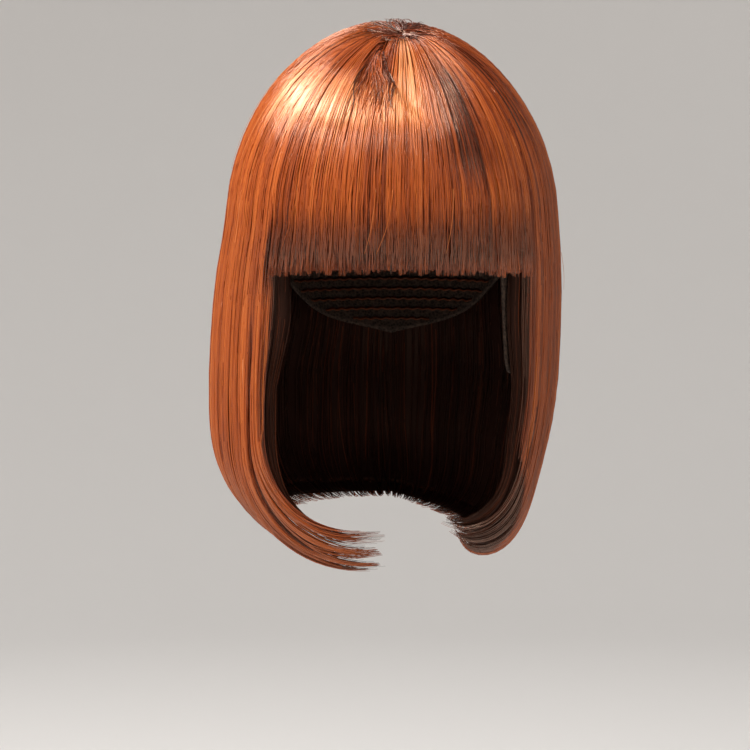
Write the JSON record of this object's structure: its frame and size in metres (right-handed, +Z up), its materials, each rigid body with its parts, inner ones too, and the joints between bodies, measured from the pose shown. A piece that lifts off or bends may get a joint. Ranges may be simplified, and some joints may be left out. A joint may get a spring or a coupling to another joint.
{
  "type": "wig",
  "caption": "Chin-length bob wig with a full straight fringe: copper hair in sections on a hollow net cap, with ends that turn under and a longer lock at the front left.",
  "frame": {"origin": "inside of the cap's crown, where the top of a head touches it", "axes": "+Z up along the head, -Y the way the wearer's face looks, +X towards the right of a viewer who faces it"},
  "size_m": [0.1981, 0.2216, 0.3001],
  "materials": {
    "copper_hair": "glossy straight synthetic hair, copper red",
    "under_hair": "the same hair inside the wig, in shade, dark auburn",
    "cap_net": "matt dark brown knitted net"
  },
  "bodies": {
    "root": {"cap_crown": "cap_net", "cap_band": "cap_net", "whorl_tuft": "copper_hair", "fringe": "copper_hair", "front_lock_left": "copper_hair", "side_left": "copper_hair", "side_right": "copper_hair", "back": "copper_hair", "under_left": "under_hair", "under_right": "under_hair", "under_back": "under_hair"}
  },
  "joints": []
}
